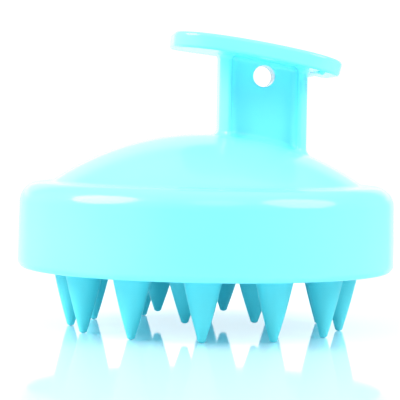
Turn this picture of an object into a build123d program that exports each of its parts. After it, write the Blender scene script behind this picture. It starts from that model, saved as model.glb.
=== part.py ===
"""Scalp massager brush: a moulded hand grip over a soft pad of bending teeth.

Millimetres. +Z is up and z = 0 is the plane that the tips of the outer teeth stand on.
The origin is on the round body's axis. +X runs along the finger plate, towards its low end,
and the hanging hole runs along Y.
"""

import os
from math import asin, cos, degrees, radians, sin, sqrt

from build123d import *

# ---------------------------------------------------------------- driving dimensions
RIM_RADIUS = 40.0            # outside of the round body
RIM_BOTTOM_Z = 12.8          # lower edge of the body, above the tooth tips
RIM_CORNER = 1.6             # rounding of that lower edge
SHOULDER_Z = 31.0            # flat ring round the foot of the dome
SHOULDER_CORNER = 4.25
DOME_TOP_Z = 41.6
DOME_RADIUS = 57.7           # spherical radius of the dome
DOME_FOOT_FILLET = 3.4
WALL = 2.3                   # moulded wall of the shell

STEM_CENTRE_X = 11.4         # the stem stands off the body's axis
STEM_WIDTH = 18.8            # along X
STEM_DEPTH = 16.0            # along Y
STEM_CORNER = 5.0            # the stem is rounded where it faces the fingers
FLANGE = 2.4
WEB = 9.0                    # thick enough to carry the hanging hole
POCKET_FILLET = 1.6
LIP_ROUND = 0.5              # rounding of the flanges' free edges
STEM_FILLET = 0.9            # where the stem meets the dome and the plate

PLATE_LENGTH = 36.0          # along the curve of its top
PLATE_WIDTH = 32.0           # along Y
PLATE_THICKNESS = 3.3
PLATE_CURVE = 204.0          # radius of the top, convex upwards
PLATE_MIDDLE_X = 10.0
PLATE_MIDDLE_Z = 60.85       # top of the plate at its middle
PLATE_MIDDLE_SLOPE = 9.4     # degrees, falling towards +X
PLATE_CORNER = 9.0           # corners of the plate seen from above
PLATE_EDGE = 0.8             # rounding of its rim
GRIP_BEAD_RADIUS = 0.65      # bead across the plate's underside, near its low end
GRIP_BEAD_HALF_LENGTH = 12.5
GRIP_BEAD_SLOPE = 13.25      # degrees, its place on the plate's curve

HOLE_RADIUS = 2.3
HOLE_Z = 54.0
HOLE_EDGE = 0.3              # rounding of its two ends

PAD_FACE_Z = 16.0            # lower face of the soft pad, recessed in the rim
PAD_THICKNESS = 3.2
BASE_THICKNESS = 2.0
DISC_GAP = 0.25              # between the discs and the shell's wall
PLUG_RADIUS = 3.0            # soft plugs that lock the pad through the base plate
PLUG_HEAD_RADIUS = 4.2
PLUG_HEAD_HEIGHT = 1.4
PLUG_GAP = 0.1
PLUG_COUNT = 6
PLUG_CIRCLE = 22.0

OUTER_COUNT = 12
OUTER_CIRCLE = 28.7          # radius of the outer ring of teeth
OUTER_FIRST_ANGLE = -95.0    # degrees, the first outer tooth
INNER_COUNT = 6
INNER_CIRCLE = 14.9
INNER_FIRST_ANGLE = -110.0
INNER_TIP_Z = 2.4
CENTRE_TIP_Z = 3.2
TOOTH_ROOT_RADIUS = 4.6      # where a tooth meets the pad
TOOTH_TIP_RADIUS = 0.85
TOOTH_BULGE = 0.24           # how far its flank bows out
HINGE_DROP = 5.3             # the bending centre, below the pad's face
SOCKET_GAP = 0.25            # between a tooth's round root and its socket

# ---------------------------------------------------------------- worked-out places
DOME_CENTRE_Z = DOME_TOP_Z - DOME_RADIUS
HINGE_Z = PAD_FACE_Z - HINGE_DROP
ROOT_BALL = sqrt(HINGE_DROP ** 2 + TOOTH_ROOT_RADIUS ** 2)
DISC_RADIUS = RIM_RADIUS - WALL - DISC_GAP
PAD_TOP_Z = PAD_FACE_Z + PAD_THICKNESS
BASE_TOP_Z = PAD_TOP_Z + BASE_THICKNESS
GROOVE_Z = PAD_TOP_Z + BASE_THICKNESS / 2
PLATE_CENTRE_X = PLATE_MIDDLE_X - PLATE_CURVE * sin(radians(PLATE_MIDDLE_SLOPE))
PLATE_CENTRE_Z = PLATE_MIDDLE_Z - PLATE_CURVE * cos(radians(PLATE_MIDDLE_SLOPE))


def dome_radius_at(sphere, z):
    """Radius of a dome of the given spherical radius, where it crosses height z."""
    return sqrt(sphere ** 2 - (z - DOME_CENTRE_Z) ** 2)


def dome_solid(rim, bottom, shoulder, sphere):
    """A flat-bottomed body of revolution: straight rim, flat shoulder ring and dome."""
    foot = dome_radius_at(sphere, shoulder)
    middle = sphere * sin(asin(foot / sphere) / 2)
    with BuildSketch(Plane.XZ) as profile:
        with BuildLine():
            Polyline(
                (0, bottom),
                (rim, bottom),
                (rim, shoulder),
                (foot, shoulder),
            )
            ThreePointArc(
                (foot, shoulder),
                (middle, DOME_CENTRE_Z + sqrt(sphere ** 2 - middle ** 2)),
                (0, DOME_CENTRE_Z + sphere),
            )
            Line((0, DOME_CENTRE_Z + sphere), (0, bottom))
        make_face()
    return revolve(profile.sketch, axis=Axis.Z, revolution_arc=360)


def circles_at(solid, radius, z):
    """The circular edges of a solid of revolution with this radius and height."""
    found = [
        edge
        for edge in solid.edges().filter_by(GeomType.CIRCLE)
        if abs(edge.radius - radius) < 0.01 and abs(edge.center(CenterOf.BOUNDING_BOX).Z - z) < 0.01
    ]
    return found


def body_shell():
    """Hollow round body with its dome, base ledge and snap bead, before the grip is added."""
    outside = dome_solid(RIM_RADIUS, RIM_BOTTOM_Z, SHOULDER_Z, DOME_RADIUS)
    outside = fillet(circles_at(outside, RIM_RADIUS, SHOULDER_Z), SHOULDER_CORNER)
    foot = dome_radius_at(DOME_RADIUS, SHOULDER_Z)
    outside = fillet(circles_at(outside, foot, SHOULDER_Z), DOME_FOOT_FILLET)
    outside = fillet(circles_at(outside, RIM_RADIUS, RIM_BOTTOM_Z), RIM_CORNER)
    inside = dome_solid(RIM_RADIUS - WALL, RIM_BOTTOM_Z, SHOULDER_Z - WALL, DOME_RADIUS - WALL)
    inside = fillet(
        circles_at(inside, RIM_RADIUS - WALL, SHOULDER_Z - WALL), SHOULDER_CORNER - WALL
    )
    return outside - inside + base_ledge() + snap_bead()


def base_ledge():
    """Ring inside the rim that the base plate seats against."""
    reach = 1.6
    height = 1.8
    inner = RIM_RADIUS - WALL - reach
    outer = RIM_RADIUS - WALL / 2
    middle = Pos(0, 0, BASE_TOP_Z + height / 2)
    return middle * (Cylinder(outer, height) - Cylinder(inner, height))


def snap_bead():
    """Small ring inside the rim that clicks into the groove of the base plate."""
    height = 0.6
    reach = 0.6
    inner = RIM_RADIUS - WALL - reach
    outer = RIM_RADIUS - WALL / 2
    return Pos(0, 0, GROOVE_Z) * (Cylinder(outer, height) - Cylinder(inner, height))


def stem_body():
    """Post that carries the finger plate: a thick web between two rounded flanges.

    It ends inside the dome's wall and inside the plate.
    """
    low = DOME_TOP_Z - 8
    high = PLATE_MIDDLE_Z + 2
    block = Box(STEM_WIDTH, STEM_DEPTH, high - low)
    block = fillet(block.edges().filter_by(Axis.Z), STEM_CORNER)
    pocket_depth = (STEM_DEPTH - WEB) / 2
    pocket = Box(STEM_WIDTH - 2 * FLANGE, pocket_depth * 2, (high - low) * 2)
    pocket = fillet(pocket.edges().filter_by(Axis.Z), POCKET_FILLET)
    for side in (-1, 1):
        block -= Pos(0, side * (WEB / 2 + pocket_depth), 0) * pocket
    free_edge = STEM_DEPTH / 2 - FLANGE
    lips = [edge for edge in block.edges().filter_by(Axis.Z) if abs(edge.center().Y) > free_edge]
    block = fillet(lips, LIP_ROUND)
    block = Pos(STEM_CENTRE_X, 0, (low + high) / 2) * block
    hollow = Pos(0, 0, DOME_CENTRE_Z) * Sphere(DOME_RADIUS - WALL / 2)
    under_plate = Cylinder(PLATE_CURVE - PLATE_THICKNESS / 2, PLATE_WIDTH)
    under_plate = Pos(PLATE_CENTRE_X, 0, PLATE_CENTRE_Z) * Rot(90, 0, 0) * under_plate
    return (block - hollow) & under_plate


def on_arc(radius, slope):
    """Point in the XZ plane on an arc about the finger plate's centre of curvature."""
    angle = radians(slope)
    return (PLATE_CENTRE_X + radius * sin(angle), PLATE_CENTRE_Z + radius * cos(angle))


def finger_plate():
    """Curved plate on top of the stem, falling towards +X, with rounded corners."""
    start = PLATE_MIDDLE_SLOPE - degrees(PLATE_LENGTH / 2 / PLATE_CURVE)
    end = PLATE_MIDDLE_SLOPE + degrees(PLATE_LENGTH / 2 / PLATE_CURVE)
    under = PLATE_CURVE - PLATE_THICKNESS
    with BuildSketch(Plane.XZ) as section:
        with BuildLine():
            ThreePointArc(
                on_arc(PLATE_CURVE, start),
                on_arc(PLATE_CURVE, PLATE_MIDDLE_SLOPE),
                on_arc(PLATE_CURVE, end),
            )
            Line(on_arc(PLATE_CURVE, end), on_arc(under, end))
            ThreePointArc(
                on_arc(under, end),
                on_arc(under, PLATE_MIDDLE_SLOPE),
                on_arc(under, start),
            )
            Line(on_arc(under, start), on_arc(PLATE_CURVE, start))
        make_face()
    plate = extrude(section.sketch, PLATE_WIDTH / 2, both=True)
    corners = [edge for edge in plate.edges() if is_plate_corner(edge)]
    plate = fillet(corners, PLATE_CORNER)
    rims = [face.outer_wire().edges() for face in plate.faces() if is_plate_skin(face)]
    return fillet([edge for rim in rims for edge in rim], PLATE_EDGE)


def grip_bead():
    """Low round-ended bead across the plate's underside, near its low end."""
    x, z = on_arc(PLATE_CURVE - PLATE_THICKNESS, GRIP_BEAD_SLOPE)
    bead = Rot(90, 0, 0) * Cylinder(GRIP_BEAD_RADIUS, GRIP_BEAD_HALF_LENGTH * 2)
    for side in (-1, 1):
        bead += Pos(0, side * GRIP_BEAD_HALF_LENGTH, 0) * Sphere(GRIP_BEAD_RADIUS)
    return Pos(x, 0, z) * bead


def is_plate_corner(edge):
    """True for the short edges across the plate's thickness at its four corners."""
    return abs(edge.length - PLATE_THICKNESS) < 0.01


def is_plate_skin(face):
    """True for the plate's large top and bottom faces."""
    return face.geom_type == GeomType.CYLINDER and face.area > PLATE_LENGTH * PLATE_WIDTH / 2


def stem_edges(solid, low, high):
    """The edges on the stem's outline that lie between two heights."""
    margin = 0.5
    found = []
    for edge in solid.edges():
        box = edge.bounding_box()
        along = max(abs(box.min.X - STEM_CENTRE_X), abs(box.max.X - STEM_CENTRE_X))
        across = max(abs(box.min.Y), abs(box.max.Y))
        on_outline = along < STEM_WIDTH / 2 + margin and across < STEM_DEPTH / 2 + margin
        if on_outline and box.min.Z > low and box.max.Z < high:
            found.append(edge)
    return found


def handle_shell():
    """The one-piece moulding: round body, dome, stem with its hanging hole, finger plate."""
    whole = body_shell() + stem_body()
    whole = fillet(stem_edges(whole, DOME_TOP_Z - 5, DOME_TOP_Z + 1), STEM_FILLET)
    whole += finger_plate()
    whole = fillet(stem_edges(whole, HOLE_Z + 1, PLATE_MIDDLE_Z - 1), STEM_FILLET)
    whole += grip_bead()
    hole = Rot(90, 0, 0) * Cylinder(HOLE_RADIUS, STEM_DEPTH * 2)
    whole -= Pos(STEM_CENTRE_X, 0, HOLE_Z) * hole
    return fillet(circles_at(whole, HOLE_RADIUS, HOLE_Z), HOLE_EDGE)


def ring(count, circle, first_angle):
    """Places of evenly spaced pieces on a circle, as (x, y) pairs."""
    angles = [radians(first_angle + 360 * index / count) for index in range(count)]
    return [(circle * cos(angle), circle * sin(angle)) for angle in angles]


def plug_places():
    """The soft plugs stand between the two rings of teeth."""
    return ring(PLUG_COUNT, PLUG_CIRCLE, OUTER_FIRST_ANGLE + 360 / OUTER_COUNT / 2)


def base_plate():
    """Rigid disc that snaps into the shell and carries the soft pad."""
    disc = Pos(0, 0, PAD_TOP_Z + BASE_THICKNESS / 2) * Cylinder(DISC_RADIUS, BASE_THICKNESS)
    groove_height = 1.0
    groove_depth = 0.7
    cutter = Cylinder(DISC_RADIUS + 1, groove_height) - Cylinder(
        DISC_RADIUS - groove_depth, groove_height
    )
    disc -= Pos(0, 0, GROOVE_Z) * cutter
    for x, y in plug_places():
        disc -= Pos(x, y, GROOVE_Z) * Cylinder(PLUG_RADIUS + PLUG_GAP, BASE_THICKNESS * 2)
    return disc


def tooth_places():
    """Every tooth's node name, place on the pad and tip height."""
    places = []
    for index, (x, y) in enumerate(ring(OUTER_COUNT, OUTER_CIRCLE, OUTER_FIRST_ANGLE)):
        places.append((f"outer_tooth_{index + 1:02d}", x, y, 0.0))
    for index, (x, y) in enumerate(ring(INNER_COUNT, INNER_CIRCLE, INNER_FIRST_ANGLE)):
        places.append((f"inner_tooth_{index + 1:02d}", x, y, INNER_TIP_Z))
    places.append(("centre_tooth", 0.0, 0.0, CENTRE_TIP_Z))
    return places


def silicone_pad():
    """Soft disc with a round socket behind each tooth and plugs that lock it to the base."""
    pad = Pos(0, 0, PAD_FACE_Z + PAD_THICKNESS / 2) * Cylinder(DISC_RADIUS, PAD_THICKNESS)
    pad = fillet(circles_at(pad, DISC_RADIUS, PAD_FACE_Z), 0.8)
    for _, x, y, _ in tooth_places():
        pad -= Pos(x, y, HINGE_Z) * Sphere(ROOT_BALL + SOCKET_GAP)
    plug_height = BASE_THICKNESS + PLUG_HEAD_HEIGHT
    for x, y in plug_places():
        pad += Pos(x, y, PAD_TOP_Z + plug_height / 2) * Cylinder(PLUG_RADIUS, plug_height)
        head_z = BASE_TOP_Z + PLUG_HEAD_HEIGHT / 2
        pad += Pos(x, y, head_z) * Cylinder(PLUG_HEAD_RADIUS, PLUG_HEAD_HEIGHT)
    return pad


def tooth(tip_z):
    """One tapering tooth on its own axis, with a rounded tip and a round root.

    The root is part of a ball about the bending centre, so the tooth can lean in its socket.
    """
    shoulder = (TOOTH_TIP_RADIUS, tip_z + TOOTH_TIP_RADIUS * 0.8)
    root = (TOOTH_ROOT_RADIUS, PAD_FACE_Z)
    flank_length = sqrt((root[0] - shoulder[0]) ** 2 + (root[1] - shoulder[1]) ** 2)
    out = ((root[1] - shoulder[1]) / flank_length, (shoulder[0] - root[0]) / flank_length)
    flank_middle = (
        (shoulder[0] + root[0]) / 2 + TOOTH_BULGE * out[0],
        (shoulder[1] + root[1]) / 2 + TOOTH_BULGE * out[1],
    )
    half = asin(TOOTH_ROOT_RADIUS / ROOT_BALL) / 2
    with BuildSketch(Plane.XZ) as profile:
        with BuildLine():
            ThreePointArc(
                (0, tip_z),
                (TOOTH_TIP_RADIUS * 0.66, tip_z + TOOTH_TIP_RADIUS * 0.24),
                shoulder,
            )
            ThreePointArc(shoulder, flank_middle, root)
            ThreePointArc(
                root,
                (ROOT_BALL * sin(half), HINGE_Z + ROOT_BALL * cos(half)),
                (0, HINGE_Z + ROOT_BALL),
            )
            Line((0, HINGE_Z + ROOT_BALL), (0, tip_z))
        make_face()
    return revolve(profile.sketch, axis=Axis.Z, revolution_arc=360)


def main():
    os.makedirs("parts", exist_ok=True)
    nodes = {
        "handle_shell": handle_shell(),
        "base_plate": base_plate(),
        "silicone_pad": silicone_pad(),
    }
    for name, x, y, tip_z in tooth_places():
        nodes[name] = Pos(x, y, 0) * tooth(tip_z)
    for name, solid in nodes.items():
        export_step(solid, f"parts/{name}.step")


main()
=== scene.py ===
"""Looks of the scalp massager brush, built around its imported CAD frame.

Metres, in the frame's own axes: +Z up, z = 0 under the outer teeth, +X along the finger plate
towards its low end. Profiles are written in millimetres and scaled once, in mesh_object.
"""

from math import asin, atan2, cos, degrees, hypot, pi, radians, sin, sqrt, tan

import bmesh
import bpy
from mathutils import Matrix, Vector


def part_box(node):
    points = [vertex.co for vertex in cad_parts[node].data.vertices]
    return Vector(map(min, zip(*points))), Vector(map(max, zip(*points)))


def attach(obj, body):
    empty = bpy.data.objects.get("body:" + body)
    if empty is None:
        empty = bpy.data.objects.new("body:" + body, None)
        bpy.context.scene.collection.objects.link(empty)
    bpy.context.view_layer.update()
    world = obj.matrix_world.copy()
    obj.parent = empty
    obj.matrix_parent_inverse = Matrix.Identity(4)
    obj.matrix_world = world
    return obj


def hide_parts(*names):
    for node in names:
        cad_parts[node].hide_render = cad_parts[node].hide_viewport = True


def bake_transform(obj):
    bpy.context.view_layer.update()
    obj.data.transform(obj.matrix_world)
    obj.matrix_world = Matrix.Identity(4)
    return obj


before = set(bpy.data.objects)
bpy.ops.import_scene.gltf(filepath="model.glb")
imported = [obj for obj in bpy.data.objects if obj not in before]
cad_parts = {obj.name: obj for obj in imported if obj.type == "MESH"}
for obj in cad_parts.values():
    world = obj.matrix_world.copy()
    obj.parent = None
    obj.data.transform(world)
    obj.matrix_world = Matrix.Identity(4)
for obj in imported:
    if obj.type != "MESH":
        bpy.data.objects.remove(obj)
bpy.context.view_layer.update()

MM = 0.001

# ------------------------------------------------------------------ shape, in millimetres
RIM_RADIUS = 40.0
RIM_DRAFT = 0.16            # the wall is this much narrower at its top
RIM_BOTTOM = 12.8
RIM_CORNER = 1.6
SHOULDER_Z = 31.0
SHOULDER_CORNER = 4.25
DOME_TOP = 41.6
DOME_RADIUS = 57.7
DOME_FILLET = 3.4
WALL = 2.3
LIP = 0.5                   # rounding inside the rim
LEDGE_LOW = 21.2            # the base plate stops against this ledge
LEDGE_HIGH = 23.0
LEDGE_REACH = 1.6
SNAP_Z = 20.2               # bead that the base plate snaps past
SNAP_HEIGHT = 0.6
SNAP_REACH = 0.6

STEM_X = 11.4
STEM_HALF_WIDTH = 9.4
STEM_HALF_DEPTH = 8.0
STEM_CORNER = 5.0
FLANGE = 2.4
LIP_ROUND = 0.5
POCKET_ROUND = 1.6
WEB_HALF = 4.5
FOOT_FILLET = 1.3
HEAD_FILLET = 1.2
FILLET_SINK = 0.5           # how far the flares run into the dome and the plate
STEM_SINK = 1.2             # how far the stem itself does

PLATE_HALF_LENGTH = 18.0
PLATE_HALF_WIDTH = 16.0
PLATE_CORNER = 9.0
PLATE_THICKNESS = 3.3
PLATE_CURVE = 204.0
PLATE_SLOPE = radians(9.4)
PLATE_MIDDLE = (10.0, 60.85)
PLATE_TOP_ROUND = 0.8
PLATE_UNDER_ROUND = 0.7
BEAD_SLOPE = radians(13.25)
BEAD_RADIUS = 0.65
BEAD_HALF_LENGTH = 12.5

HOLE_Z = 54.0
HOLE_RADIUS = 2.3
HOLE_EDGE = 0.3

PAD_FACE = 16.0
PAD_TOP = 19.2
PAD_RADIUS = 37.45
PAD_CORNER = 0.8
PAD_TOP_ROUND = 0.3
PLUG_TOP = 22.6
PLUG_RADIUS = 3.0
PLUG_HEAD_RADIUS = 4.2
PLUG_HEAD_HEIGHT = 1.4
PLUG_EDGE = 0.5
PLUG_SINK = 0.5             # how far a plug runs into the pad
PLUG_CIRCLE = 22.0
TOOTH_ROOT = 4.6
TOOTH_TIP = 0.85
TOOTH_BULGE = 0.24
TOOTH_FOOT_FILLET = 0.9
TOOTH_FLARE_START = 0.86    # share of the flank below the foot fillet
TOOTH_SINK = 0.7            # how far a tooth runs into the pad

BODY_SEGMENTS = 288         # faces round each turned form
DRILL_SEGMENTS = 96
BEAD_SEGMENTS = 32
PAD_SEGMENTS = 192
PLUG_SEGMENTS = 40
TOOTH_SEGMENTS = 64
FLOOR_HALF = 3000

DOME_CENTRE = DOME_TOP - DOME_RADIUS
PLATE_CENTRE = (
    PLATE_MIDDLE[0] - PLATE_CURVE * sin(PLATE_SLOPE),
    PLATE_MIDDLE[1] - PLATE_CURVE * cos(PLATE_SLOPE),
)


# ------------------------------------------------------------------ mesh tools
def arc(centre, radius, start, end, steps):
    """Points on an arc, angles in degrees from the first axis towards the second."""
    points = []
    for step in range(steps + 1):
        angle = radians(start + (end - start) * step / steps)
        points.append((centre[0] + radius * cos(angle), centre[1] + radius * sin(angle)))
    return points


def line(a, b, steps):
    """Points strictly between a and b."""
    points = []
    for step in range(1, steps):
        share = step / steps
        points.append((a[0] + (b[0] - a[0]) * share, a[1] + (b[1] - a[1]) * share))
    return points


def revolve(profile, segments, closed):
    """Vertices and faces of (radius, height) points turned about Z. Zero radius is a pole."""
    vertices, rings, faces = [], [], []
    for radius, height in profile:
        if radius < 1e-9:
            rings.append([len(vertices)])
            vertices.append((0.0, 0.0, height))
            continue
        rings.append(list(range(len(vertices), len(vertices) + segments)))
        for index in range(segments):
            angle = 2 * pi * index / segments
            vertices.append((radius * cos(angle), radius * sin(angle), height))
    pairs = list(zip(rings, rings[1:]))
    if closed:
        pairs.append((rings[-1], rings[0]))
    for low, high in pairs:
        join_rings(faces, low, high)
    return vertices, faces


def join_rings(faces, low, high):
    """Faces between two rings of vertex numbers, either of which may be one pole."""
    count = max(len(low), len(high))
    if count == 1:
        return
    for index in range(count):
        after = (index + 1) % count
        if len(low) == 1:
            faces.append((low[0], high[after], high[index]))
        elif len(high) == 1:
            faces.append((low[index], low[after], high[0]))
        else:
            faces.append((low[index], low[after], high[after], high[index]))


def stack(rings):
    """Vertices and faces over a row of rings of points; a ring of one point is a pole."""
    vertices, numbers, faces = [], [], []
    for ring in rings:
        numbers.append(list(range(len(vertices), len(vertices) + len(ring))))
        vertices.extend(ring)
    for low, high in zip(numbers, numbers[1:]):
        join_rings(faces, low, high)
    return vertices, faces


def merge(*parts):
    """One vertex and face list out of several."""
    vertices, faces = [], []
    for part_vertices, part_faces in parts:
        first = len(vertices)
        vertices.extend(part_vertices)
        faces.extend(tuple(number + first for number in face) for face in part_faces)
    return vertices, faces


def moved(part, x=0.0, y=0.0, z=0.0, along_y=False):
    """The part shifted, after its Z axis is laid along Y if along_y is set."""
    vertices, faces = part
    if along_y:
        vertices = [(a, c, -b) for a, b, c in vertices]
    return [(a + x, b + y, c + z) for a, b, c in vertices], faces


def mesh_object(name, part, sharp_angle=35):
    """A mesh object from millimetre vertices, smooth except over sharp edges."""
    vertices, faces = part
    mesh = bpy.data.meshes.new(name)
    mesh.from_pydata([(a * MM, b * MM, c * MM) for a, b, c in vertices], [], faces)
    mesh.validate()
    tidy_normals(mesh)
    mesh.shade_smooth()
    mesh.set_sharp_from_angle(angle=radians(sharp_angle))
    piece = bpy.data.objects.new(name, mesh)
    bpy.context.scene.collection.objects.link(piece)
    return piece


def tidy_normals(mesh):
    """Faces of each closed part turned to look outwards."""
    work = bmesh.new()
    work.from_mesh(mesh)
    bmesh.ops.recalc_face_normals(work, faces=work.faces)
    work.to_mesh(mesh)
    work.free()


# ------------------------------------------------------------------ the round body
def body_profile():
    """Closed (radius, height) outline of the shell's wall, from the rim up and back down inside."""
    top_radius = RIM_RADIUS - RIM_DRAFT
    fillet_centre_z = SHOULDER_Z + DOME_FILLET
    reach = DOME_RADIUS + DOME_FILLET
    fillet_centre_r = sqrt(reach ** 2 - (fillet_centre_z - DOME_CENTRE) ** 2)
    touch = asin(fillet_centre_r / reach)
    outer = arc((RIM_RADIUS - RIM_CORNER, RIM_BOTTOM + RIM_CORNER), RIM_CORNER, -90, 0, 10)
    wall_top = (top_radius, SHOULDER_Z - SHOULDER_CORNER)
    outer += line(outer[-1], wall_top, 10)
    corner_centre = (top_radius - SHOULDER_CORNER, SHOULDER_Z - SHOULDER_CORNER)
    outer += arc(corner_centre, SHOULDER_CORNER, 0, 90, 20)
    flat_end = (fillet_centre_r, SHOULDER_Z)
    outer += line(outer[-1], flat_end, 3)
    fillet_end = -90 - degrees(touch)
    outer += arc((fillet_centre_r, fillet_centre_z), DOME_FILLET, -90, fillet_end, 10)
    rows = 60
    for row in range(1, rows + 1):
        angle = touch * (1 - row / rows)
        outer.append((DOME_RADIUS * sin(angle), DOME_CENTRE + DOME_RADIUS * cos(angle)))
    inner_sphere = DOME_RADIUS - WALL
    inner_wall = RIM_RADIUS - WALL
    inner_top = SHOULDER_Z - WALL
    inner_foot = asin(sqrt(inner_sphere ** 2 - (inner_top - DOME_CENTRE) ** 2) / inner_sphere)
    inner = []
    for row in range(rows // 2 + 1):
        angle = inner_foot * row / (rows // 2)
        inner.append((inner_sphere * sin(angle), DOME_CENTRE + inner_sphere * cos(angle)))
    round_in = SHOULDER_CORNER - WALL
    inner += arc((inner_wall - round_in, inner_top - round_in), round_in, 90, 0, 8)
    inner += [(inner_wall, LEDGE_HIGH), (inner_wall - LEDGE_REACH, LEDGE_HIGH)]
    inner += [(inner_wall - LEDGE_REACH, LEDGE_LOW), (inner_wall, LEDGE_LOW)]
    inner += [(inner_wall, SNAP_Z + SNAP_HEIGHT / 2), (inner_wall - SNAP_REACH, SNAP_Z)]
    inner += [(inner_wall, SNAP_Z - SNAP_HEIGHT / 2)]
    inner += arc((inner_wall + LIP, RIM_BOTTOM + LIP), LIP, 180, 270, 5)
    return outer + inner


def body_part():
    """The hollow round body as one closed mesh with a pole on each side of the dome."""
    return revolve(body_profile(), BODY_SEGMENTS, closed=True)


# ------------------------------------------------------------------ the stem
def rounded_outline(corners, arc_steps, line_length):
    """Closed outline of (x, y, normal x, normal y) from anticlockwise (x, y, radius) corners."""
    count = len(corners)
    pieces = []
    for index, (x, y, radius) in enumerate(corners):
        before = corners[index - 1]
        after = corners[(index + 1) % count]
        to_before = Vector((before[0] - x, before[1] - y)).normalized()
        to_after = Vector((after[0] - x, after[1] - y)).normalized()
        middle = (to_before + to_after).normalized()
        half = to_before.angle(to_after) / 2
        centre = Vector((x, y)) + middle * (radius / sin(half))
        start = Vector((x, y)) + to_before * (radius / tan(half))
        end = Vector((x, y)) + to_after * (radius / tan(half))
        turn = (start - centre).angle_signed(end - centre)
        convex = (-to_before).cross(to_after) > 0
        pieces.append((centre, start - centre, -turn, 1 if convex else -1, end))
    outline = []
    for index, (centre, arm, turn, sign, end) in enumerate(pieces):
        for step in range(arc_steps + 1):
            angle = turn * step / arc_steps
            turned = Vector((
                arm.x * cos(angle) - arm.y * sin(angle),
                arm.x * sin(angle) + arm.y * cos(angle),
            ))
            normal = turned.normalized() * sign
            outline.append((centre.x + turned.x, centre.y + turned.y, normal.x, normal.y))
        following = pieces[(index + 1) % count]
        start = following[0] + following[1]
        steps = max(1, round((start - end).length / line_length))
        normal = Vector((start.y - end.y, end.x - start.x)).normalized()
        for step in range(1, steps):
            point = end.lerp(start, step / steps)
            outline.append((point.x, point.y, normal.x, normal.y))
    return outline


def with_normals(centre, radius, start, end, steps, outward):
    """An arc as (x, y, normal x, normal y), with normals away from the centre or towards it."""
    points = []
    for x, y in arc(centre, radius, start, end, steps):
        normal = ((x - centre[0]) / radius * outward, (y - centre[1]) / radius * outward)
        points.append((x, y, *normal))
    return points


def straight(a, b, steps, normal):
    """Points strictly between a and b, all with one normal."""
    return [(x, y, *normal) for x, y in line(a, b, steps)]


def stem_outline():
    """Two rounded flanges joined by a web, about the stem's own middle, anticlockwise."""
    inside = STEM_HALF_WIDTH - FLANGE
    corner = (STEM_CORNER - STEM_HALF_WIDTH, STEM_CORNER - STEM_HALF_DEPTH)
    lip_x = -inside - LIP_ROUND
    reach = STEM_CORNER - LIP_ROUND
    lip = (lip_x, corner[1] - sqrt(reach ** 2 - (lip_x - corner[0]) ** 2))
    touch = degrees(atan2(lip[1] - corner[1], lip[0] - corner[0])) + 360
    pocket = (-inside + POCKET_ROUND, -WEB_HALF - POCKET_ROUND)
    quarter = [(-STEM_HALF_WIDTH, 0.0, -1.0, 0.0)]
    quarter += straight((-STEM_HALF_WIDTH, 0), (-STEM_HALF_WIDTH, corner[1]), 4, (-1, 0))
    quarter += with_normals(corner, STEM_CORNER, 180, touch, 12, 1)
    quarter += with_normals(lip, LIP_ROUND, touch, 360, 10, 1)[1:]
    quarter += straight((-inside, lip[1]), (-inside, pocket[1]), 3, (1, 0))
    quarter += with_normals(pocket, POCKET_ROUND, 180, 90, 16, -1)
    quarter += straight((pocket[0], -WEB_HALF), (0, -WEB_HALF), 8, (0, -1))
    mirrored = [(-x, y, -nx, ny) for x, y, nx, ny in reversed(quarter)]
    half = quarter + [(0.0, -WEB_HALF, 0.0, -1.0)] + mirrored
    turned = [(-x, -y, -nx, -ny) for x, y, nx, ny in half]
    return half[:-1] + turned[:-1]


def dome_height(x, y):
    """Height of the dome over a place in the plan."""
    return DOME_CENTRE + sqrt(DOME_RADIUS ** 2 - x * x - y * y)


def under_plate_height(x):
    """Height of the plate's underside at x."""
    under = PLATE_CURVE - PLATE_THICKNESS
    return PLATE_CENTRE[1] + sqrt(under ** 2 - (x - PLATE_CENTRE[0]) ** 2)


def stem_part():
    """The post, flared onto the dome at its foot and onto the plate's underside at its head."""
    outline = stem_outline()
    fillet_steps = 10
    straight_steps = 14

    def ring(offset, rise, from_foot):
        points = []
        for x, y, normal_x, normal_y in outline:
            px = STEM_X + x + normal_x * offset
            py = y + normal_y * offset
            if from_foot:
                points.append((px, py, dome_height(px, py) + rise))
            else:
                points.append((px, py, under_plate_height(px) - rise))
        return points

    rings = [ring(0.0, -STEM_SINK, True), ring(FOOT_FILLET, -FILLET_SINK, True)]
    for step in range(fillet_steps + 1):
        angle = pi / 2 * step / fillet_steps
        rings.append(ring(FOOT_FILLET * (1 - sin(angle)), FOOT_FILLET * (1 - cos(angle)), True))
    low = rings[-1]
    head = []
    for step in range(fillet_steps + 1):
        angle = pi / 2 * (1 - step / fillet_steps)
        head.append(ring(HEAD_FILLET * (1 - sin(angle)), HEAD_FILLET * (1 - cos(angle)), False))
    high = head[0]
    for step in range(1, straight_steps):
        share = step / straight_steps
        rings.append([
            (a[0] + (b[0] - a[0]) * share, a[1] + (b[1] - a[1]) * share, a[2] + (b[2] - a[2]) * share)
            for a, b in zip(low, high)
        ])
    rings += head
    rings += [ring(HEAD_FILLET, -FILLET_SINK, False), ring(0.0, -STEM_SINK, False)]
    vertices, faces = stack(rings)
    count = len(outline)
    faces.append(tuple(reversed(range(count))))
    faces.append(tuple(range(len(vertices) - count, len(vertices))))
    return vertices, faces


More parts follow.
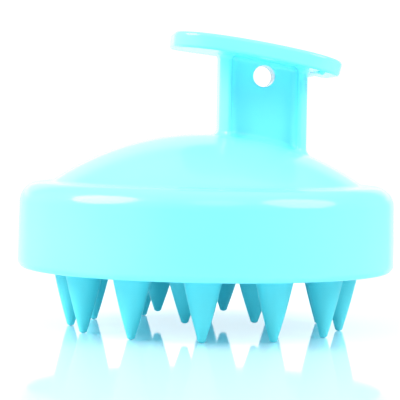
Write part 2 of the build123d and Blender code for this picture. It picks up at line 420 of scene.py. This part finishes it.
def stem_piece():
    """The stem with its web drilled, as vertices and faces."""
    stem = mesh_object("stem_work", stem_part())
    wide = HOLE_RADIUS + HOLE_EDGE
    end = WEB_HALF - HOLE_EDGE
    clear = STEM_HALF_DEPTH + 1
    bore = [(0, -clear), (wide, -clear)] + arc((wide, -end), HOLE_EDGE, -90, -180, 6)
    bore += arc((wide, end), HOLE_EDGE, 180, 90, 6) + [(wide, clear), (0, clear)]
    drill = revolve(bore, DRILL_SEGMENTS, closed=False)
    drill = mesh_object("drill_work", moved(drill, STEM_X, 0, HOLE_Z, along_y=True))
    cut = stem.modifiers.new("drill", "BOOLEAN")
    cut.operation = "DIFFERENCE"
    cut.solver = "EXACT"
    cut.object = drill
    bpy.context.view_layer.update()
    drilled = stem.evaluated_get(bpy.context.evaluated_depsgraph_get()).to_mesh()
    vertices = [tuple(v.co / MM) for v in drilled.vertices]
    faces = [tuple(p.vertices) for p in drilled.polygons]
    bpy.data.objects.remove(stem)
    bpy.data.objects.remove(drill)
    return vertices, faces


def bead_part():
    """Low round-ended bead across the plate's underside, near its low end."""
    middle = plate_point((BEAD_SLOPE - PLATE_SLOPE) * PLATE_CURVE, 0, PLATE_THICKNESS)
    profile = arc((0, -BEAD_HALF_LENGTH), BEAD_RADIUS, -90, 0, 8)
    profile += line((BEAD_RADIUS, -BEAD_HALF_LENGTH), (BEAD_RADIUS, BEAD_HALF_LENGTH), 10)
    profile += arc((0, BEAD_HALF_LENGTH), BEAD_RADIUS, 0, 90, 8)
    bead = revolve(profile, BEAD_SEGMENTS, closed=False)
    return moved(bead, middle[0], 0, middle[2], along_y=True)


# ------------------------------------------------------------------ the finger plate
def plate_point(along, across, depth):
    """A place in the curved plate: arc length from its middle, along Y, and below its top."""
    angle = PLATE_SLOPE + along / PLATE_CURVE
    radius = PLATE_CURVE - depth
    return (PLATE_CENTRE[0] + radius * sin(angle), across, PLATE_CENTRE[1] + radius * cos(angle))


def plate_outline():
    """The plate laid flat: a rectangle with round corners."""
    long, wide, corner = PLATE_HALF_LENGTH, PLATE_HALF_WIDTH, PLATE_CORNER
    corners = [(-long, -wide, corner), (long, -wide, corner), (long, wide, corner), (-long, wide, corner)]
    return rounded_outline(corners, 24, 0.9)


def plate_part():
    """The finger plate as one closed mesh: rings over its top, round its rim and underneath."""
    outline = plate_outline()

    def ring(inset, depth, share=1.0):
        return [
            plate_point((x - nx * inset) * share, (y - ny * inset) * share, depth)
            for x, y, nx, ny in outline
        ]

    shares = [0.1, 0.25, 0.4, 0.55, 0.7, 0.82, 0.92]
    steps = 9
    rings = [[plate_point(0, 0, 0)]]
    rings += [ring(PLATE_TOP_ROUND, 0, share) for share in shares]
    for step in range(steps + 1):
        angle = pi / 2 * step / steps
        rings.append(ring(PLATE_TOP_ROUND * (1 - sin(angle)), PLATE_TOP_ROUND * (1 - cos(angle))))
    for step in range(steps + 1):
        angle = pi / 2 * (1 - step / steps)
        rings.append(ring(
            PLATE_UNDER_ROUND * (1 - sin(angle)),
            PLATE_THICKNESS - PLATE_UNDER_ROUND * (1 - cos(angle)),
        ))
    rings += [ring(PLATE_UNDER_ROUND, PLATE_THICKNESS, share) for share in reversed(shares)]
    rings.append([plate_point(0, 0, PLATE_THICKNESS)])
    return stack(rings)


# ------------------------------------------------------------------ the soft pad and teeth
def pad_part():
    """Soft disc with a softened lower edge."""
    profile = [(0, PAD_FACE)] + line((0, PAD_FACE), (PAD_RADIUS - PAD_CORNER, PAD_FACE), 12)
    profile += arc((PAD_RADIUS - PAD_CORNER, PAD_FACE + PAD_CORNER), PAD_CORNER, -90, 0, 6)
    top_centre = (PAD_RADIUS - PAD_TOP_ROUND, PAD_TOP - PAD_TOP_ROUND)
    profile += arc(top_centre, PAD_TOP_ROUND, 0, 90, 4)
    profile += [(0, PAD_TOP)]
    return revolve(profile, PAD_SEGMENTS, closed=False)


def plug_part(x, y):
    """A soft plug with a wider head, which locks the pad through the base plate."""
    foot = PAD_TOP - PLUG_SINK
    neck = PLUG_TOP - PLUG_HEAD_HEIGHT
    edge = PLUG_TOP - PLUG_EDGE
    profile = [(0, foot), (PLUG_RADIUS, foot), (PLUG_RADIUS, neck)]
    profile += [(PLUG_HEAD_RADIUS, neck), (PLUG_HEAD_RADIUS, edge)]
    profile += arc((PLUG_HEAD_RADIUS - PLUG_EDGE, edge), PLUG_EDGE, 0, 90, 4)
    profile += [(0, PLUG_TOP)]
    return moved(revolve(profile, PLUG_SEGMENTS, closed=False), x, y)


def tooth_part(tip_z):
    """One tooth: rounded tip, slightly bowed flank and a fillet onto the pad's face."""
    shoulder = (TOOTH_TIP, tip_z + TOOTH_TIP * 0.8)
    root = (TOOTH_ROOT, PAD_FACE)
    profile = [(0.0, tip_z)]
    tip_steps = 7
    for step in range(1, tip_steps):
        angle = pi / 2 * step / tip_steps
        profile.append((
            TOOTH_TIP * sin(angle) ** 0.9,
            tip_z + (shoulder[1] - tip_z) * (1 - cos(angle)),
        ))
    steps = 30
    length = hypot(root[0] - shoulder[0], root[1] - shoulder[1])
    out = ((root[1] - shoulder[1]) / length, (shoulder[0] - root[0]) / length)
    for step in range(steps + 1):
        share = step / steps
        bow = TOOTH_BULGE * 4 * share * (1 - share)
        flare = TOOTH_FOOT_FILLET * max(0.0, (share - TOOTH_FLARE_START) / (1 - TOOTH_FLARE_START)) ** 2.4
        profile.append((
            shoulder[0] + (root[0] - shoulder[0]) * share + out[0] * bow + flare,
            shoulder[1] + (root[1] - shoulder[1]) * share + out[1] * bow,
        ))
    top = PAD_FACE + TOOTH_SINK
    profile += [(profile[-1][0] - 0.2, top), (0, top)]
    return revolve(profile, TOOTH_SEGMENTS, closed=False)


# ------------------------------------------------------------------ materials
def new_material(name):
    """An empty node material, with its nodes and links."""
    material = bpy.data.materials.new(name)
    material.use_nodes = True
    return material, material.node_tree.nodes, material.node_tree.links


def noise(nodes, links, scale, detail):
    """A noise texture laid out in metres."""
    place = nodes.new("ShaderNodeTexCoord")
    texture = nodes.new("ShaderNodeTexNoise")
    texture.inputs["Scale"].default_value = scale
    texture.inputs["Detail"].default_value = detail
    links.new(place.outputs["Object"], texture.inputs["Vector"])
    return texture


def spread(nodes, links, source, low, high):
    """The noise's middle range mapped onto low to high."""
    ramp = nodes.new("ShaderNodeMapRange")
    ramp.inputs["From Min"].default_value = 0.3
    ramp.inputs["From Max"].default_value = 0.7
    ramp.inputs["To Min"].default_value = low
    ramp.inputs["To Max"].default_value = high
    links.new(source.outputs["Fac"], ramp.inputs["Value"])
    return ramp


def tinted(nodes, links, source, first, second):
    """A colour between two tints, driven by noise."""
    mix = nodes.new("ShaderNodeMix")
    mix.data_type = "RGBA"
    mix.inputs["A"].default_value = (*first, 1)
    mix.inputs["B"].default_value = (*second, 1)
    ramp = spread(nodes, links, source, 0.0, 1.0)
    links.new(ramp.outputs["Result"], mix.inputs["Factor"])
    return mix


def bump(nodes, links, source, strength, distance, below=None):
    """A bump from a noise texture, on top of another bump if one is given."""
    node = nodes.new("ShaderNodeBump")
    node.inputs["Strength"].default_value = strength
    node.inputs["Distance"].default_value = distance
    links.new(source.outputs["Fac"], node.inputs["Height"])
    if below is not None:
        links.new(below.outputs["Normal"], node.inputs["Normal"])
    return node


def gloss_plastic():
    """Glossy moulded aqua plastic with faint flow waves and a fine orange-peel skin."""
    material, nodes, links = new_material("shell_gloss_aqua")
    shader = nodes["Principled BSDF"]
    cloud = noise(nodes, links, 38, 2)
    tint = tinted(nodes, links, cloud, (0.225, 0.875, 0.975), (0.24, 0.89, 0.985))
    links.new(tint.outputs["Result"], shader.inputs["Base Color"])
    rough = spread(nodes, links, noise(nodes, links, 150, 3), 0.12, 0.17)
    links.new(rough.outputs["Result"], shader.inputs["Roughness"])
    wave = bump(nodes, links, noise(nodes, links, 45, 1), 0.25, 0.00006)
    peel = bump(nodes, links, noise(nodes, links, 900, 2), 0.12, 0.00001, wave)
    links.new(peel.outputs["Normal"], shader.inputs["Normal"])
    shader.inputs["IOR"].default_value = 1.5
    return material


def silicone():
    """Satin silicone rubber with a fine moulded grain."""
    material, nodes, links = new_material("silicone_aqua")
    shader = nodes["Principled BSDF"]
    cloud = noise(nodes, links, 60, 2)
    tint = tinted(nodes, links, cloud, (0.12, 0.755, 0.83), (0.14, 0.775, 0.85))
    links.new(tint.outputs["Result"], shader.inputs["Base Color"])
    rough = spread(nodes, links, noise(nodes, links, 400, 3), 0.36, 0.48)
    links.new(rough.outputs["Result"], shader.inputs["Roughness"])
    grain = bump(nodes, links, noise(nodes, links, 1600, 3), 0.25, 0.00001)
    links.new(grain.outputs["Normal"], shader.inputs["Normal"])
    shader.inputs["IOR"].default_value = 1.42
    return material


def matte_base():
    """Plain off-white moulded plastic of the hidden base plate."""
    material, nodes, links = new_material("base_off_white")
    shader = nodes["Principled BSDF"]
    cloud = noise(nodes, links, 50, 2)
    tint = tinted(nodes, links, cloud, (0.80, 0.88, 0.88), (0.84, 0.91, 0.91))
    links.new(tint.outputs["Result"], shader.inputs["Base Color"])
    rough = spread(nodes, links, noise(nodes, links, 300, 3), 0.45, 0.6)
    links.new(rough.outputs["Result"], shader.inputs["Roughness"])
    grain = bump(nodes, links, noise(nodes, links, 1200, 3), 0.3, 0.00001)
    links.new(grain.outputs["Normal"], shader.inputs["Normal"])
    return material


def floor_white():
    """Pale glossy table top with a faint painted cyan glow, which stands in for aqua light bounced into
    its shade.
    """
    material, nodes, links = new_material("floor_white")
    shader = nodes["Principled BSDF"]
    cloud = noise(nodes, links, 3, 2)
    tint = tinted(nodes, links, cloud, (0.68, 0.86, 0.91), (0.70, 0.88, 0.93))
    links.new(tint.outputs["Result"], shader.inputs["Base Color"])
    rough = spread(nodes, links, noise(nodes, links, 30, 2), 0.05, 0.07)
    links.new(rough.outputs["Result"], shader.inputs["Roughness"])
    shader.inputs["IOR"].default_value = 1.45
    # painted glow: a faint cyan emission over the whole floor, standing in for aqua light bounced into
    # the shade around the brush
    shader.inputs["Emission Color"].default_value = (0.25, 0.70, 0.95, 1)
    shader.inputs["Emission Strength"].default_value = 0.15
    return material


def smooth_range(nodes, links, value, low, high):
    """0 below low, 1 above high and smooth between them."""
    step = nodes.new("ShaderNodeMapRange")
    step.interpolation_type = "SMOOTHSTEP"
    step.inputs["From Min"].default_value = low
    step.inputs["From Max"].default_value = high
    links.new(value, step.inputs["Value"])
    return step


def combined(nodes, links, operation, first, second):
    """Two values joined by a maths operation."""
    node = nodes.new("ShaderNodeMath")
    node.operation = operation
    links.new(first, node.inputs[0])
    links.new(second, node.inputs[1])
    return node.outputs["Value"]


def studio_world():
    """White studio: a bright backdrop behind with a light strip low on it, lit sides, a dim room
    in front and a soft ceiling.
    """
    world = bpy.data.worlds.new("studio")
    world.use_nodes = True
    nodes, links = world.node_tree.nodes, world.node_tree.links
    background = nodes["Background"]
    place = nodes.new("ShaderNodeTexCoord")
    split = nodes.new("ShaderNodeSeparateXYZ")
    links.new(place.outputs["Generated"], split.inputs["Vector"])
    # axis, where the light starts, where it is full, and how strong it is there
    zones = [
        ("Y", 0.78, 0.88, 0.62),
        ("X", -0.45, -0.80, 0.46),
        ("X", 0.55, 0.90, 0.18),
        ("Z", 0.45, 0.90, 0.25),
        ("Y", -0.60, 0.0, 0.20),
    ]
    above = smooth_range(nodes, links, split.outputs["Z"], 0.106, 0.122)
    below = smooth_range(nodes, links, split.outputs["Z"], 0.22, 0.17)
    behind = smooth_range(nodes, links, split.outputs["Y"], 0.70, 0.90)
    strip = combined(nodes, links, "MULTIPLY", above.outputs["Result"], below.outputs["Result"])
    behind.inputs["To Max"].default_value = 0.5
    total = combined(nodes, links, "MULTIPLY", strip, behind.outputs["Result"])
    for axis, low, high, level in zones:
        zone = smooth_range(nodes, links, split.outputs[axis], low, high)
        zone.inputs["To Max"].default_value = level
        total = combined(nodes, links, "ADD", total, zone.outputs["Result"])
    dim_room = nodes.new("ShaderNodeMath")
    dim_room.operation = "ADD"
    dim_room.inputs[1].default_value = 0.31
    links.new(total, dim_room.inputs[0])
    links.new(dim_room.outputs["Value"], background.inputs["Strength"])
    background.inputs["Color"].default_value = (1, 1, 1, 1)
    bpy.context.scene.world = world


# ------------------------------------------------------------------ pieces on the frame
shell_look = gloss_plastic()
silicone_look = silicone()
base_look = matte_base()

shell_form = merge(body_part(), stem_piece(), plate_part(), bead_part())
shell = mesh_object("shell_moulding", shell_form)
shell.data.materials.append(shell_look)
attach(shell, "handle")
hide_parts("handle_shell")

tooth_nodes = [name for name in sorted(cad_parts) if "tooth" in name]
tooth_axes = {}
for node in tooth_nodes:
    low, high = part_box(node)
    tooth_axes[node] = ((low.x + high.x) / 2, (low.y + high.y) / 2, low.z)

outer = [tooth_axes[node] for node in tooth_nodes if node.startswith("outer")]
plugs = []
for index in range(0, len(outer), 2):
    a, b = outer[index], outer[index + 1]
    middle = Vector((a[0] + b[0], a[1] + b[1])).normalized() * PLUG_CIRCLE
    plugs.append(plug_part(middle.x, middle.y))
pad = mesh_object("pad_moulding", merge(pad_part(), *plugs))
pad.data.materials.append(silicone_look)
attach(pad, "handle")
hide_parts("silicone_pad")

for node, (x, y, tip) in tooth_axes.items():
    piece = mesh_object(node + "_soft", moved(tooth_part(tip / MM), x / MM, y / MM))
    piece.data.materials.append(silicone_look)
    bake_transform(piece)
    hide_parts(node)

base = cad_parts["base_plate"]
base.data.materials.clear()
base.data.materials.append(base_look)

# ------------------------------------------------------------------ studio
floor_corners = [(x * FLOOR_HALF, y * FLOOR_HALF, 0) for x, y in ((-1, -1), (1, -1), (1, 1), (-1, 1))]
floor = mesh_object("floor", (floor_corners, [(0, 1, 2, 3)]))
floor.data.materials.append(floor_white())

studio_world()


def soft_light(name, azimuth, elevation, distance, size, radiance):
    """Round softbox aimed at the object; azimuth in degrees from the front towards +X."""
    side, up = radians(azimuth), radians(elevation)
    target = Vector((0, 0, 0.03))
    arm = Vector((sin(side) * cos(up), -cos(side) * cos(up), sin(up)))
    light = bpy.data.lights.new(name, "AREA")
    light.shape = "DISK"
    light.size = size
    light.energy = radiance * pi * pi * size ** 2 / 4
    lamp = bpy.data.objects.new(name, light)
    lamp.location = target + arm * distance
    lamp.rotation_euler = (-arm).to_track_quat("-Z", "Y").to_euler()
    bpy.context.scene.collection.objects.link(lamp)


soft_light("softbox_left", -78, 36, 0.6, 0.43, 8.4)
soft_light("softbox_right", 62, 36, 0.6, 0.46, 5.4)
soft_light("front_fill", 4, 44, 1.4, 0.7, 1.5)

camera_data = bpy.data.cameras.new("camera")
camera_data.sensor_width = 36.0
camera_data.lens = 177.4
camera = bpy.data.objects.new("camera", camera_data)
camera_place = (-0.02935, -0.41977, 0.04449)
forward = Vector((0.0663, 0.9970, -0.0405)).normalized()
level_right = forward.cross(Vector((0, 0, 1))).normalized()
level_up = level_right.cross(forward)
roll = radians(1.005)
right = level_right * cos(roll) + level_up * sin(roll)
up = level_up * cos(roll) - level_right * sin(roll)
turn = Matrix((right, up, -forward)).transposed()
camera.matrix_world = Matrix.Translation(camera_place) @ turn.to_4x4()
bpy.context.scene.collection.objects.link(camera)
bpy.context.scene.camera = camera
bpy.context.scene.view_settings.view_transform = "Standard"
